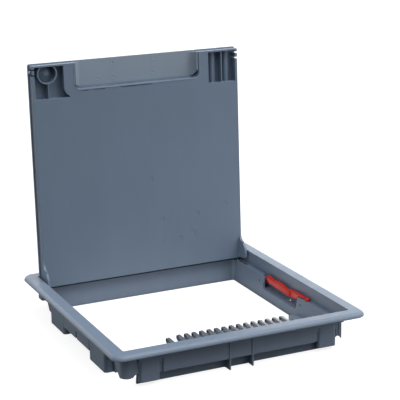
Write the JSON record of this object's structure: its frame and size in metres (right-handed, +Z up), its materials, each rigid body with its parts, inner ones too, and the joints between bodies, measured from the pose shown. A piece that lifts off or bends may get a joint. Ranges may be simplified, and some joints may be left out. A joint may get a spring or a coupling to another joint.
{
  "type": "underfloor outlet box surround",
  "caption": "Square surround for an underfloor outlet box, with a hinged lid that stands open, a cable flap and comb, and two side levers.",
  "frame": {"origin": "middle of the square frame, on the plane under its well", "axes": "+Z up, out of the floor; +Y towards the lid's hinge; +X to the right, along the hinge line"},
  "size_m": [0.264, 0.264, 0.2611],
  "materials": {
    "shell": "fine satin grain",
    "lid": "fine satin grain",
    "flap": "fine satin grain",
    "comb": "satin",
    "lever": "semi gloss",
    "plate": "galvanised",
    "pin": "turned"
  },
  "bodies": {
    "frame": {"frame": "shell", "cable_comb": "comb", "hinge_pin_left": "pin", "hinge_pin_right": "pin", "lever_pin_left": "pin", "lever_pin_right": "pin"},
    "lid": {"lid": "lid", "lid_plate": "plate"},
    "flap": {"cable_flap": "flap"},
    "lever_left": {"lever_left": "lever"},
    "lever_right": {"lever_right": "lever"}
  },
  "joints": [
    {"name": "lid_hinge", "type": "hinge", "parent": "frame", "child": "lid", "pos_m": [0, 0.1123, 0.0315], "axis": [1, 0, 0], "range_deg": [0, 92.3]},
    {"name": "flap_hinge", "type": "hinge", "parent": "lid", "child": "flap", "pos_m": [0, 0.12475, 0.23431], "axis": [-1, 0, 0], "range_deg": [0, 90]},
    {"name": "lever_left_pivot", "type": "hinge", "parent": "frame", "child": "lever_left", "pos_m": [-0.1155, -0.043, 0.0235], "axis": [0, 0, -1], "range_deg": [0, 25]},
    {"name": "lever_right_pivot", "type": "hinge", "parent": "frame", "child": "lever_right", "pos_m": [0.1155, -0.043, 0.0235], "axis": [0, 0, 1], "range_deg": [0, 25]}
  ]
}
